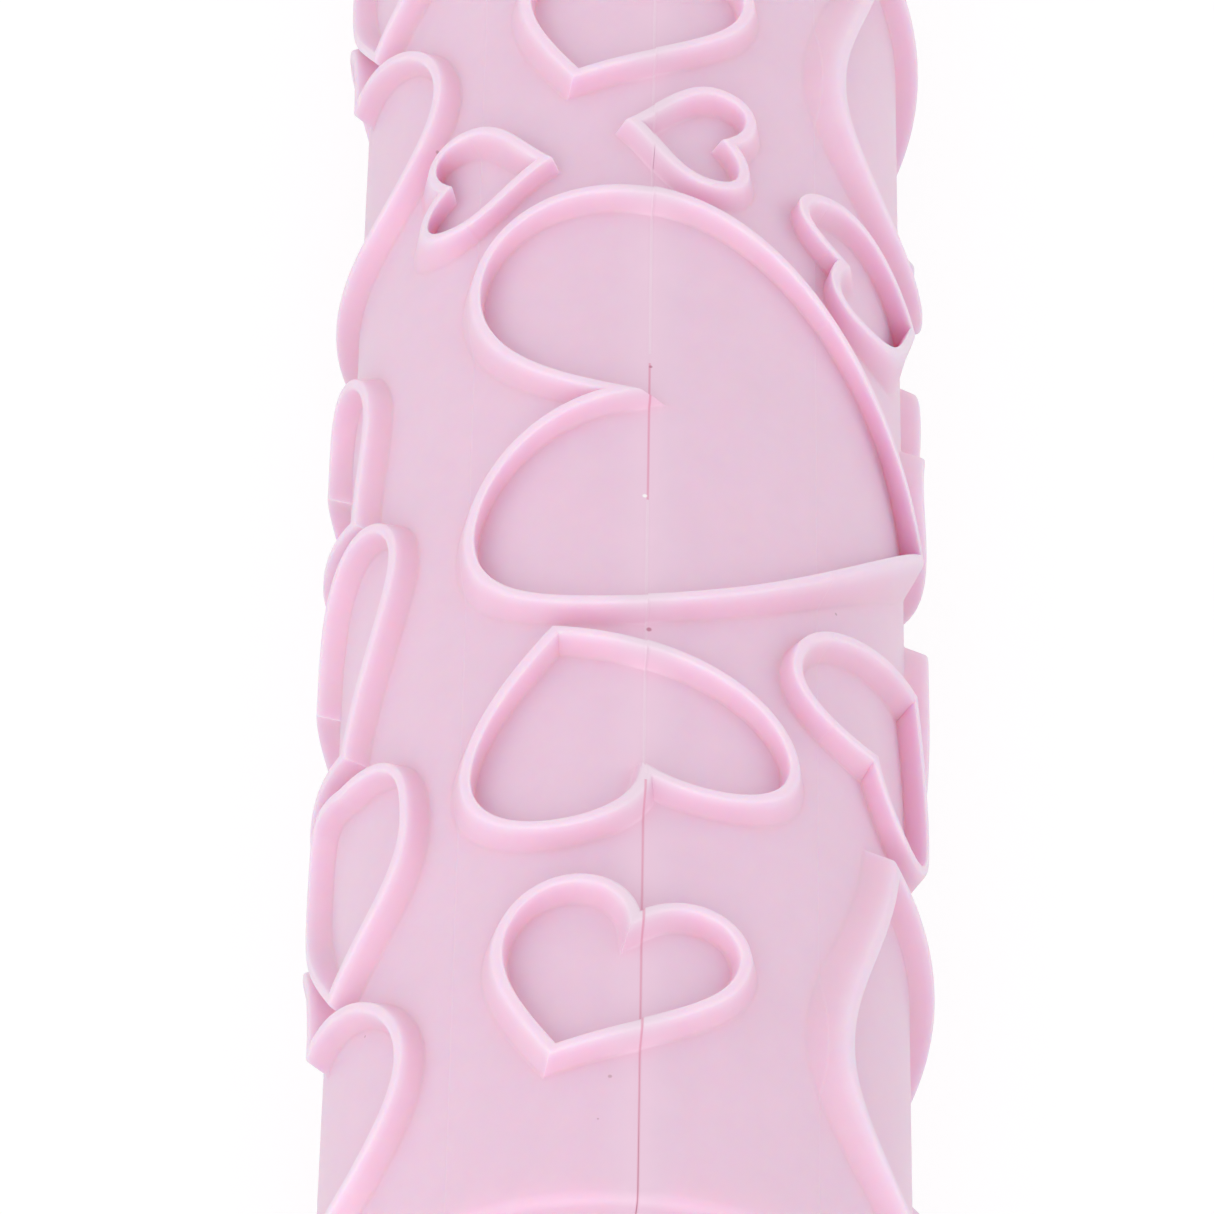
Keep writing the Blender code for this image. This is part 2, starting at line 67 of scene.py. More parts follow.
# Barrel halves: two thin-walled shells moulded in pale pink plastic, with raised heart outlines, a wall and
# a short neck at each end, and ribs inside. They meet along a seam, and the end caps hold them together.
MM = 0.001
BARREL_RADIUS = 22.5 * MM
BARREL_HALF_LENGTH = 105 * MM
BARREL_WALL = 2.4 * MM
END_WALL = 2.5 * MM
END_ROUNDING = 0.9 * MM
NECK_RADIUS = 9.5 * MM
NECK_BORE = 6.6 * MM
NECK_LENGTH = 4 * MM
RIB_BORE = 9 * MM
RIB_THICKNESS = 4 * MM
RIB_PLACE = 35 * MM
SKIN_ROWS = 106
SKIN_STEPS = 280
SAME_PLACE = 1e-7
SHARP_EDGE = radians(35)


def outline_normals(points):
    """Unit normals on the left of a line of points, from the mean direction of the two steps at each."""
    way = np.gradient(points, axis=0)
    way /= np.linalg.norm(way, axis=1, keepdims=True)
    return np.stack([-way[:, 1], way[:, 0]], axis=1)


def arc(centre, radius, first, last, count):
    """Points of a circle: centre + radius x (cosine, sine) of angles evenly spaced, in degrees."""
    angle = np.radians(np.linspace(first, last, count))
    return np.stack([centre[0] + radius * np.cos(angle), centre[1] + radius * np.sin(angle)], axis=1)


def grid_faces(rows, columns):
    """Four-sided faces of a grid that closes on itself both ways."""
    row, column = np.meshgrid(np.arange(rows), np.arange(columns), indexing="ij")
    next_row, next_column = (row + 1) % rows, (column + 1) % columns
    faces = [row * columns + column, row * columns + next_column]
    faces += [next_row * columns + next_column, next_row * columns + column]
    return np.stack(faces, axis=-1).reshape(-1, 4)


def turned(profile, steps):
    """Points and faces of a closed profile of (radius, place) carried round the pin's axis.

    Each point goes to (place, radius x sine, radius x cosine) of the angle from the top.
    """
    angle = np.linspace(0, 2 * pi, steps, endpoint=False)
    radius, place = profile.T[..., None]
    points = np.stack([place + 0 * angle, radius * np.sin(angle), radius * np.cos(angle)], axis=-1)
    return points.reshape(-1, 3), grid_faces(len(profile), steps)


def mesh_of(name, points, faces):
    """A mesh of the points and faces, with coinciding points merged and every face turned outwards."""
    mesh = bpy.data.meshes.new(name)
    mesh.from_pydata(points, [], faces)
    shape = bmesh.new()
    shape.from_mesh(mesh)
    bmesh.ops.remove_doubles(shape, verts=shape.verts, dist=SAME_PLACE)
    bmesh.ops.dissolve_degenerate(shape, dist=SAME_PLACE, edges=shape.edges)
    bmesh.ops.recalc_face_normals(shape, faces=shape.faces)
    shape.to_mesh(mesh)
    shape.free()
    return mesh


def shell_profile():
    """The shell's closed section as (radius, place): outside from neck to neck, then back along the bore."""
    side = np.linspace(BARREL_HALF_LENGTH - END_ROUNDING, 0, SKIN_ROWS)
    round_centre = (BARREL_RADIUS - END_ROUNDING, BARREL_HALF_LENGTH - END_ROUNDING)
    edge = arc(round_centre, END_ROUNDING, 90, 0, 7)
    outer = np.concatenate(
        [
            [[NECK_RADIUS, BARREL_HALF_LENGTH + NECK_LENGTH], [NECK_RADIUS, BARREL_HALF_LENGTH]],
            edge,
            np.stack([np.full(SKIN_ROWS - 1, BARREL_RADIUS), side[1:]], axis=1),
        ]
    )
    inner_radius = BARREL_RADIUS - BARREL_WALL
    inner = np.array(
        [
            [inner_radius, 0],
            [inner_radius, RIB_PLACE - RIB_THICKNESS / 2],
            [RIB_BORE, RIB_PLACE - RIB_THICKNESS / 2],
            [RIB_BORE, RIB_PLACE + RIB_THICKNESS / 2],
            [inner_radius, RIB_PLACE + RIB_THICKNESS / 2],
            [inner_radius, BARREL_HALF_LENGTH - END_WALL],
            [NECK_BORE, BARREL_HALF_LENGTH - END_WALL],
            [NECK_BORE, BARREL_HALF_LENGTH + NECK_LENGTH],
        ]
    )
    far_outer = outer[-2::-1] * (1, -1)
    far_inner = inner[:0:-1] * (1, -1)
    return np.concatenate([outer, far_outer, far_inner, inner])


# The hearts: the ridge follows each outline with a drafted section, mitred at the notch and at the tip. Few
# ridges stand square to the round barrel: most stand along the way that their part of the mould opens.
RIDGE_HEIGHT = 1.96 * MM
RIDGE_FOOT = 2.0 * MM
RIDGE_CREST = 0.75 * MM
RIDGE_ROOT = 0.6 * MM
CREST_ROUNDING = 0.3 * MM
FOOT_FILLET = 0.3 * MM
FOOT_SPREAD = 0.05 * MM
FOOT_DEPTH = 0.06 * MM
FILLET_SINK = 0.01 * MM
FOOT_ROW = 2
RIDGE_STEP = 0.55 * MM
FEWEST_STEPS, MOST_STEPS = 24, 90
MITRE_FADE = 4
PATTERN_REPEAT = 104 * MM
STEEPEST_LEAN = radians(55)

# A kind of heart is the place of its notch, the place of its widest part, and how steeply its sides rise
# from the tip and from the notch, in degrees. Each curve's end runs on for a share of the heart's size.
NOTCH_AND_TIP_REACH = 0.62
LOBE_RISE = 0.67
LOBE_FALL = 0.54
plain = (0.45, 0.35, 53, 69)
broad = (0.35, 0.37, 48, 74)
full = (0.66, 0.40, 40, 64)
blunt = (0.61, 0.31, 40, 50)
folded = (0.78, 0.48, 48, 46)
shallow = (0.88, 0.31, 40, 5)
small = (0.56, 0.31, 49, 50)

# Each heart: its kind, degrees round from the seam, place from the near end in shares of the repeat,
# degrees of turn, half width and half length in shares of the barrel's radius, and the slant of its axis.
# Then the direction that its ridge stands along, in degrees, and how fully it does so.
heart_shares = [
    (full, -7.0, 0.196, -17.6, 0.383, 0.360, 0.11, 0, 1),
    (full, -6.5, 0.442, 197.6, 0.538, 0.429, -0.12, 0, 1),
    (broad, 14.9, 0.773, 90.4, 1.01, 1.03, 0.00, 0, 1),
    (small, -35, 1.036, 84, 0.24, 0.24, -0.04, 0, 1),
    (small, 8, 1.060, 265, 0.24, 0.21, 0.07, 0, 1),
    (small, 51, 0.990, 116, 0.28, 0.31, 0.25, 0, 1),
    (folded, 56.9, 0.536, 149, 0.430, 0.352, -0.03, 0, 0.5),
    (plain, 84, 0.244, 201, 0.88, 0.83, -0.24, 90, 0.7),
    (blunt, -96, 0.184, -46, 0.83, 0.73, -0.06, -90, 0),
    (shallow, -68, 0.379, -17, 0.38, 0.47, -0.30, -90, 0),
    (plain, -84, 0.596, 31, 0.69, 0.50, -0.08, -90, 0),
    (plain, -84, 0.829, 29, 0.42, 0.47, -0.15, -90, 0),
    (plain, 110, 0.926, 66, 0.62, 0.50, -0.12, 90, 0.7),
    (plain, 113, 0.628, -6, 0.54, 0.53, 0.00, 90, 0.7),
    (plain, 182, 0.895, 160, 0.54, 0.50, -0.05, 180, 1),
    (blunt, 177, 0.440, 150, 0.42, 0.40, 0.00, 180, 1),
    (plain, 191, 0.630, -50, 0.48, 0.46, 0.06, 180, 1),
    (blunt, 201, 0.230, 75, 0.42, 0.42, -0.06, 180, 1),
    (small, 161, 0.090, 20, 0.27, 0.27, 0.00, 180, 1),
]


def half_outline(kind, half_width, half_length, points=400):
    """The right half of a heart from its notch to its tip, evenly spaced, run on straight past both.

    Two curves (1 - t)^3 a + 3 t (1 - t)^2 b + 3 t^2 (1 - t) c + t^3 d join the notch, the widest place of
    the lobe and the tip.
    """
    notch_share, lobe_share, tip_lean, notch_lean = kind
    size = np.array([half_width, half_length])
    notch, lobe, tip = np.array([[0, notch_share], [1, lobe_share], [0, -1]]) * size
    notch_way = np.array([cos(radians(notch_lean)), sin(radians(notch_lean))]) * size
    tip_way = np.array([cos(radians(tip_lean)), sin(radians(tip_lean))]) * size
    rise, fall = np.array([0, LOBE_RISE]) * size, np.array([0, -LOBE_FALL]) * size
    t = np.linspace(0, 1, points)[:, None]

    def cubic(a, b, c, d):
        return (1 - t) ** 3 * a + 3 * t * (1 - t) ** 2 * b + 3 * t**2 * (1 - t) * c + t**3 * d

    upper = cubic(notch, notch + NOTCH_AND_TIP_REACH * notch_way, lobe + rise, lobe)
    lower = cubic(lobe, lobe + fall, tip + NOTCH_AND_TIP_REACH * tip_way, tip)
    line = np.concatenate([upper, lower[1:]])
    run_on = 3 * RIDGE_FOOT * (1 - t[:-1])
    before = notch - run_on * notch_way / np.linalg.norm(notch_way)
    after = tip - run_on[::-1] * tip_way / np.linalg.norm(tip_way)
    line = np.concatenate([before, line, after])
    gone = np.concatenate([[0], np.cumsum(np.linalg.norm(np.diff(line, axis=0), axis=1))])
    even = np.linspace(0, gone[-1], 2 * points)
    across, along = np.interp(even, gone, line[:, 0]), np.interp(even, gone, line[:, 1])
    return np.stack([across, along], axis=1), even


def ridge_section():
    """The ridge's section as (across, up): flat crest, rounded edges, drafted flanks and filleted feet."""
    foot, crest = RIDGE_FOOT / 2, RIDGE_CREST / 2
    slope = np.degrees(np.arctan2(RIDGE_HEIGHT, foot - crest))
    cut = tan(radians(slope / 2))
    edge_centre = (crest - CREST_ROUNDING * cut, RIDGE_HEIGHT - CREST_ROUNDING)
    edge = arc(edge_centre, CREST_ROUNDING, 90, 90 - slope, 5)
    fillet = arc((foot + FOOT_FILLET * cut, FOOT_FILLET), FOOT_FILLET, 270 - slope, 270, 5)
    flank = np.linspace(edge[-1], fillet[0], 4)[1:-1]
    outermost = fillet[-1][0] + FOOT_SPREAD
    sunk = np.array([[outermost, -FOOT_DEPTH], [outermost, -RIDGE_ROOT]])
    side = np.concatenate([edge, flank, fillet - (0, FILLET_SINK), sunk])
    return np.concatenate([side[::-1] * (-1, 1), side])


def heart_ridge(kind, half_width, half_length, section):
    """A whole ridge lying flat, as (across, along, up) on a grid of section points by places round it.

    Every point of the section follows the outline at its own distance: outline + distance x normal. Each
    such line is cut where it meets the heart's middle, which mitres the ridge, and what it has more or less
    than the middle line there fades along it. The other half is its mirror image.
    """
    line, even = half_outline(kind, half_width, half_length)
    normals = outline_normals(line)
    offset = line[None] + section[:, 0, None, None] * normals[None]
    across = offset[..., 0]
    middle = len(even) // 2
    step = np.arange(len(even))
    first = np.max(np.where((across < 0) & (step < middle), step, -1), axis=1)
    last = np.min(np.where((across < 0) & (step > middle), step, len(even)), axis=1)
    rows = np.arange(len(section))
    before, after = across[rows, first], across[rows, first + 1]
    start = even[first] + (even[1] - even[0]) * before / (before - after)
    before, after = across[rows, last - 1], across[rows, last]
    finish = even[last - 1] + (even[1] - even[0]) * before / (before - after)
    length = even[last.min()] - even[first.max()]
    count = int(np.clip(length / RIDGE_STEP, FEWEST_STEPS, MOST_STEPS))
    share = np.linspace(0, 1, count)
    start_mid, finish_mid = start[len(section) // 2], finish[len(section) // 2]
    travel = (
        start_mid
        + (finish_mid - start_mid) * share[None]
        + (start - start_mid)[:, None] * (1 - share[None]) ** MITRE_FADE
        + (finish - finish_mid)[:, None] * share[None] ** MITRE_FADE
    )
    place = np.clip((travel - even[0]) / (even[1] - even[0]), 0, len(even) - 1.001)
    low = place.astype(int)
    part = (place - low)[..., None]
    grid = offset[rows[:, None], low] * (1 - part) + offset[rows[:, None], low + 1] * part
    grid[:, [0, -1], 0] = 0
    whole = np.concatenate([grid, grid[:, -2:0:-1] * (-1, 1)], axis=1)
    up = np.broadcast_to(section[:, 1, None, None], (*whole.shape[:2], 1))
    return np.concatenate([whole, up], axis=2)


def leaned(bend, up, opening, share):
    """A ridge's angles round the barrel once it stands along the way the mould opens.

    The crest keeps its place at t from that direction. What lies lower moves round by a share of
    asin((barrel radius + ridge height) sin t / (barrel radius + up)) - t. Beyond the steepest lean, t
    counts as that lean.
    """
    rows = len(bend) // 2
    crest = (bend[rows - 1] + bend[rows]) / 2 - radians(opening)
    t = np.clip((crest + pi) % (2 * pi) - pi, -STEEPEST_LEAN, STEEPEST_LEAN)
    reach = (BARREL_RADIUS + RIDGE_HEIGHT) / (BARREL_RADIUS + up)
    return bend + share * (np.arcsin(reach * np.sin(t)) - t)


def joined_barrel():
    """The turned shell with every ridge joined on, as one closed mesh, and points along the ridges' feet.

    A heart's flat (across, far) turns to (across cos turn - far sin turn, across sin turn + far cos turn).
    The first, over the barrel's radius, is its angle round the barrel, and the second is its place along.
    """
    shell = bpy.data.objects.new("shell", mesh_of("shell", *turned(shell_profile(), SKIN_STEPS)))
    bpy.context.scene.collection.objects.link(shell)
    hearts = bpy.data.collections.new("hearts")
    bpy.context.scene.collection.children.link(hearts)
    section = ridge_section()
    feet = []
    for kind, angle, place, turn, width, length, slant, opening, stand in heart_shares:
        flat = heart_ridge(kind, width * BARREL_RADIUS, length * BARREL_RADIUS, section)
        across, far, up = np.moveaxis(flat, -1, 0)
        across = across + slant * far
        cosine, sine = cos(radians(turn)), sin(radians(turn))
        bend = radians(angle) + (across * cosine - far * sine) / BARREL_RADIUS
        far = across * sine + far * cosine
        bend, reach = leaned(bend, up, opening, stand), BARREL_RADIUS + up
        for repeat in range(-1, 3):
            along = BARREL_HALF_LENGTH - (place + repeat) * PATTERN_REPEAT - far
            if np.abs(along).max() > BARREL_HALF_LENGTH - END_ROUNDING / 3:
                continue
            points = np.stack([along, reach * np.sin(bend), reach * np.cos(bend)], axis=-1)
            mesh = mesh_of("heart", points.reshape(-1, 3), grid_faces(*bend.shape))
            hearts.objects.link(bpy.data.objects.new("heart", mesh))
            foot = np.stack([bend * BARREL_RADIUS, along], axis=-1)[[FOOT_ROW, -FOOT_ROW - 1]]
            step = (np.roll(foot, -1, axis=1) - foot) / 3
            feet.append(np.concatenate([foot + count * step for count in range(3)]).reshape(-1, 2))
    join = shell.modifiers.new("Join", "BOOLEAN")
    join.operation = "UNION"
    join.solver = "MANIFOLD"
    join.operand_type = "COLLECTION"
    join.collection = hearts
    bpy.context.view_layer.update()
    mesh = bpy.data.meshes.new_from_object(shell.evaluated_get(bpy.context.evaluated_depsgraph_get()))
    for made in [shell, *hearts.objects]:
        bpy.data.objects.remove(made)
    bpy.data.collections.remove(hearts)
    return mesh, feet


barrel_mesh, ridge_feet = joined_barrel()

# The halves' gap along the seam as (place, width): shut over most of the length and open at the near end.
# Below the skin a tongue of one half reaches into the other, given as (depth, reach). It stops short of the
# ends. Ridges that cross the seam miss each other by twice the mismatch.
SEAM_GAPS = np.array([(-110, 0), (90, 0), (105, 0.03), (110, 0.03)]) * MM
TONGUE = np.array([(0.12, 0), (0.35, 0.5), (1.5, 0.5), (2.0, 0)]) * MM
TONGUE_END = BARREL_HALF_LENGTH - 2 * END_ROUNDING
RIDGE_MISMATCH = 0.06 * MM
CUT_MARGIN = 1e-6


def points_of(mesh):
    """The mesh's points as rows of (x, y, z)."""
    points = np.empty(len(mesh.vertices) * 3)
    mesh.vertices.foreach_get("co", points)
    return points.reshape(-1, 3)


def half_of(name, side):
    """One half of the barrel: the joined mesh cut by the seam's plane and closed across the cut.

    The cut face is cut again at the tongue's depths and ends, and its points move across by the reach there.
    Then a point moves off the seam by half the gap x near, and along by the mismatch x near to the fourth,
    where near is 1 at the seam and 1 - |y| / radius elsewhere.
    """
    shape = bmesh.new()
    shape.from_mesh(barrel_mesh)
    whole = shape.verts[:] + shape.edges[:] + shape.faces[:]
    seam = {"plane_co": (0, 0, 0), "plane_no": (0, side, 0)}
    bmesh.ops.bisect_plane(shape, geom=whole, dist=SAME_PLACE, clear_inner=True, **seam)
    border = [edge for edge in shape.edges if edge.is_boundary]
    cut = bmesh.ops.holes_fill(shape, edges=border)["faces"]
    edges = {edge for face in cut for edge in face.edges}
    points = {point for face in cut for point in face.verts}
    cut += list(edges) + list(points)
    depths = np.outer((1, -1), BARREL_RADIUS - TONGUE[:, 0]).ravel()
    levels = [((0, 0, depth), (0, 0, 1)) for depth in depths]
    levels += [((end, 0, 0), (1, 0, 0)) for end in (-TONGUE_END, TONGUE_END)]
    for centre, normal in levels:
        level = {"plane_co": centre, "plane_no": normal}
        cut = bmesh.ops.bisect_plane(shape, geom=cut, dist=SAME_PLACE, **level)["geom"]
    bmesh.ops.recalc_face_normals(shape, faces=shape.faces)
    mesh = bpy.data.meshes.new(name)
    shape.to_mesh(mesh)
    shape.free()
    x, y, z = points_of(mesh).T
    near_seam = 1 - np.abs(y) / np.hypot(y, z)
    reach = np.interp(BARREL_RADIUS - np.abs(z), *TONGUE.T, left=0, right=0)
    reach = reach * (np.abs(y) < CUT_MARGIN) * (np.abs(x) < TONGUE_END + CUT_MARGIN)
    gap = np.interp(x, *SEAM_GAPS.T)
    y = y + reach + side * gap / 2 * near_seam
    x = x - side * RIDGE_MISMATCH * near_seam**4 * (np.abs(x) < BARREL_HALF_LENGTH - END_ROUNDING)
    mesh.vertices.foreach_set("co", np.stack([x, y, z], axis=1).ravel())
    mesh.update()
    return mesh


# How far up the flank and over the skin the painted shade of a crease fades, over which heights the painted
# highlight on the crest does, how near a foot the skin is looked at, and what still counts as skin.
FLANK_CREASE_SHADE = 1.4 * MM
SKIN_CREASE_SHADE = 1.1 * MM
CREST_HIGHLIGHT_BOTTOM = 1.1 * MM
CREST_HIGHLIGHT_FADE = 0.7 * MM
FOOT_REACH = 2 * MM
SKIN_LIMIT = 0.1 * MM


def mark_relief(mesh):
    """Writes the map "skin", which is each point's (way round, place along) in metres, and two attributes of
    painted light.

    Painted crease shade is 1 at a ridge's foot and falls evenly to 0 up the flank and as a square over the
    skin. The painted crest highlight is 1 along a ridge's top and falls evenly to 0 down its flanks.
    """
    points = points_of(mesh)
    x, y, z = points.T
    radius = np.hypot(y, z)
    skin = np.stack([np.arctan2(y, z) * BARREL_RADIUS, x], axis=1)
    height = radius - BARREL_RADIUS
    foot_distance = np.full(len(points), 1.0)
    turn = 2 * pi * BARREL_RADIUS
    for foot in ridge_feet:
        for shift in (-turn, 0, turn):
            line = foot + (shift, 0)
            low, high = line.min(axis=0) - FOOT_REACH, line.max(axis=0) + FOOT_REACH
            close = np.flatnonzero(np.all((skin > low) & (skin < high), axis=1) & (height < SKIN_LIMIT))
            if len(close):
                nearest = np.sqrt(((skin[close, None] - line[None]) ** 2).sum(axis=2).min(axis=1))
                foot_distance[close] = np.minimum(foot_distance[close], nearest)
    crease_shade = np.where(
        height > SKIN_LIMIT,
        np.clip(1 - height / FLANK_CREASE_SHADE, 0, 1),
        np.clip(1 - foot_distance / SKIN_CREASE_SHADE, 0, 1) ** 2,
    )
    crest = np.clip((height - CREST_HIGHLIGHT_BOTTOM) / CREST_HIGHLIGHT_FADE, 0, 1)
    outside = radius > BARREL_RADIUS - SKIN_LIMIT
    # Both attributes paint light into the colour: shade at the ridges' feet and a highlight along their
    # crests.
    for name, value in (("crease_shade", crease_shade * outside), ("crest", crest * outside)):
        mesh.attributes.new(name, "FLOAT", "POINT").data.foreach_set("value", value.astype(np.float32))
    corners = np.empty(len(mesh.loops), int)
    mesh.loops.foreach_get("vertex_index", corners)
    mesh.uv_layers.new(name="skin").data.foreach_set("uv", skin[corners].astype(np.float32).ravel())


def add_node(tree, kind, inputs=(), **settings):
    """A new shader node. Its inputs are (socket, value) pairs, and a value may be another node's output."""
    node = tree.nodes.new("ShaderNode" + kind)
    for setting, value in settings.items():
        setattr(node, setting, value)
    for socket, value in inputs:
        if isinstance(value, bpy.types.NodeSocket):
            tree.links.new(value, node.inputs[socket])
        else:
            node.inputs[socket].default_value = value
    return node


def maths(tree, operation, *values):
    """The result of one operation on the values."""
    return add_node(tree, "Math", enumerate(values), operation=operation).outputs[0]


def faded(tree, value, first, last):
    """0 where the value is at first and 1 where it is at last, even in between and held beyond."""
    inputs = [("Value", value), ("From Min", first), ("From Max", last)]
    return add_node(tree, "MapRange", inputs).outputs["Result"]


def noise(tree, position, scale, detail):
    """Noise between 0 and 1 over the position."""
    inputs = [("Vector", position), ("Scale", scale), ("Detail", detail)]
    return add_node(tree, "TexNoise", inputs).outputs[0]


def blended(tree, share, first, last, blend="MIX"):
    """The first colour where the share is 0, the last where it is 1, and a blend of both in between."""
    inputs = [(0, share), (6, first), (7, last)]
    return add_node(tree, "Mix", inputs, data_type="RGBA", blend_type=blend).outputs[2]


def new_group(name, inputs, outputs):
    """An empty group of shader nodes, its inner inputs and outputs. Its sockets are (name, kind) pairs."""
    group = bpy.data.node_groups.new(name, "ShaderNodeTree")
    for way, sockets in (("INPUT", inputs), ("OUTPUT", outputs)):
        for socket, kind in sockets:
            group.interface.new_socket(socket, in_out=way, socket_type="NodeSocket" + kind)
    return group, group.nodes.new("NodeGroupInput").outputs, group.nodes.new("NodeGroupOutput").inputs


def surfaced(name, group, inputs):
    """A material whose shader takes its colour, roughness and relief from a shared group.

    Returns the material, the shader, the group's node and the bump node.
    """
    material = bpy.data.materials.new(name)
    material.use_nodes = True
    tree = material.node_tree
    shader = tree.nodes["Principled BSDF"]
    position = add_node(tree, "TexCoord").outputs["Object"]
    surface = add_node(tree, "Group", [("Position", position), *inputs], node_tree=group)
    bump = add_node(tree, "Bump", [("Strength", 1), ("Distance", 1), ("Height", surface.outputs["Height"])])
    tree.links.new(surface.outputs["Colour"], shader.inputs["Base Color"])
    tree.links.new(surface.outputs["Roughness"], shader.inputs["Roughness"])
    tree.links.new(bump.outputs[0], shader.inputs["Normal"])
    return material, shader, surface, bump


# Moulded plastic, shared by every plastic piece: clouds and a fine mottle in the colour, a few dark specks
# of dirt, and a fine grain, which comes out as a height in metres. The roughness is (spread, least).
DIRT_COLOUR = (0.30, 0.15, 0.15, 1)
CLEAN_CELLS = 0.9
SPECK_EDGE = (0.022, 0.010)
PLASTIC_ROUGHNESS = (0.10, 0.38)
PLASTIC_IOR = 1.46
SCATTER_RADII = (1.0, 0.22, 0.38)
moulded, given, result = new_group(
    "moulded_plastic",
    [
        ("Position", "Vector"),
        ("Colour", "Color"),
        ("Mottle", "Float"),
        ("Specks", "Float"),
        ("Grain", "Float"),
    ],
    [("Colour", "Color"), ("Roughness", "Float"), ("Height", "Float")],
)
clouds = noise(moulded, given["Position"], 70, 3)
mottle = noise(moulded, given["Position"], 420, 4)
grain = noise(moulded, given["Position"], 2600, 2)
cloudy, mottled = (maths(moulded, "SUBTRACT", value, 0.5) for value in (clouds, mottle))
bright = maths(moulded, "MULTIPLY_ADD", maths(moulded, "ADD", cloudy, mottled), given["Mottle"], 1)
shaded = blended(moulded, 1, given["Colour"], bright, "MULTIPLY")
cells = add_node(moulded, "TexVoronoi", [("Vector", given["Position"]), ("Scale", 110)])
cell_value = add_node(moulded, "SeparateColor", [(0, cells.outputs["Color"])]).outputs[0]
speckled = maths(moulded, "GREATER_THAN", cell_value, CLEAN_CELLS)
dirt = maths(moulded, "MULTIPLY", faded(moulded, cells.outputs["Distance"], *SPECK_EDGE), speckled)
dirt = maths(moulded, "MULTIPLY", dirt, given["Specks"])
moulded.links.new(blended(moulded, dirt, shaded, DIRT_COLOUR), result["Colour"])
moulded.links.new(maths(moulded, "MULTIPLY_ADD", mottle, *PLASTIC_ROUGHNESS), result["Roughness"])
moulded.links.new(maths(moulded, "MULTIPLY", grain, given["Grain"]), result["Height"])


def plastic(name, colour, scatter, scatter_depth, **looks):
    """A plastic material, the node of its group and its bump node."""
    material, shader, surface, bump = surfaced(name, moulded, [("Colour", colour), *looks.items()])
    shader.inputs["Subsurface Weight"].default_value = scatter
    shader.inputs["Subsurface Radius"].default_value = SCATTER_RADII
    shader.inputs["Subsurface Scale"].default_value = scatter_depth
    shader.inputs["IOR"].default_value = PLASTIC_IOR
    return material, surface, bump


# The barrel's marks, in millimetres. Along the seam lies a raised bead of flash, its paleness a painted
# highlight, or a deep pink line of painted shade in the joint, over stretches given as (middle, half
# length), and on both sides runs the line of the mould's insert. Specks of dirt, dark red spots and a white
# chip are (degrees round, place along, radius).
PINK = (0.82, 0.575, 0.715, 1)
INSERT_LINE = 14.73 * MM
INSERT_LINE_WIDTH = 0.12 * MM
FLASH_AND_HIGHLIGHT = [(50.2, 15.2), (-43, 62), (86, 20)]
SEAM_SHADE = [(27.5, 7.5), (86, 20)]
SPECK_PLACES = [(43.1, 40.2, 0.13), (-57.9, 67.7, 0.14), (-61.7, 81.4, 0.11)]
SPECK_PLACES += [(-5.5, 93.5, 0.15), (-7.6, 97.5, 0.08)]
# Dark red spots near the seam.
DARK_SPOT_PLACES = [(0.6, 48.8, 0.20), (0.2, 20.4, 0.14)]
CHIP_PLACES = [(-0.6, 34.6, 0.18)]
LINE_HEIGHT = 0.025 * MM

pink_plastic, pink_surface, pink_bump = plastic(
    "pink_plastic", PINK, 0.85, 3.2 * MM, Mottle=0.05, Specks=0.5, Grain=0.004 * MM
)
tree = pink_plastic.node_tree
skin = add_node(tree, "UVMap", uv_map="skin").outputs["UV"]
way_round, along, _ = add_node(tree, "SeparateXYZ", [(0, skin)]).outputs
# Painted shade at the ridges' feet and a painted highlight along their crests, read from the mesh.
crease_shade = add_node(tree, "Attribute", attribute_name="crease_shade").outputs["Fac"]
crest = add_node(tree, "Attribute", attribute_name="crest").outputs["Fac"]
from_top = maths(tree, "ABSOLUTE", way_round)
from_seam = maths(tree, "MINIMUM", from_top, maths(tree, "SUBTRACT", pi * BARREL_RADIUS, from_top))
from_insert = maths(tree, "ABSOLUTE", maths(tree, "SUBTRACT", from_seam, INSERT_LINE))
insert_line = faded(tree, from_insert, INSERT_LINE_WIDTH, 0)


def along_seam(first, last, stretches):
    """1 on the seam and 0 away from it, over the given stretches only."""
    within = 0
    for middle, half_length in stretches:
        within = maths(tree, "ADD", maths(tree, "COMPARE", along, middle * MM, half_length * MM), within)
    return maths(tree, "MULTIPLY", faded(tree, from_seam, first, last), within)


flash_and_highlight = along_seam(0.16 * MM, 0.05 * MM, FLASH_AND_HIGHLIGHT)
seam_shade = along_seam(0.13 * MM, 0.05 * MM, SEAM_SHADE)


def marks(places):
    """1 within each mark and 0 away from it, fading from 0.7 to 1.3 of its radius."""
    total = 0
    for angle, place, size in places:
        centre = (radians(angle) * BARREL_RADIUS, place * MM, 0)
        gap = add_node(tree, "VectorMath", [(0, skin), (1, centre)], operation="DISTANCE").outputs["Value"]
        total = maths(tree, "MAXIMUM", faded(tree, gap, 1.3 * size * MM, 0.7 * size * MM), total)
    return total


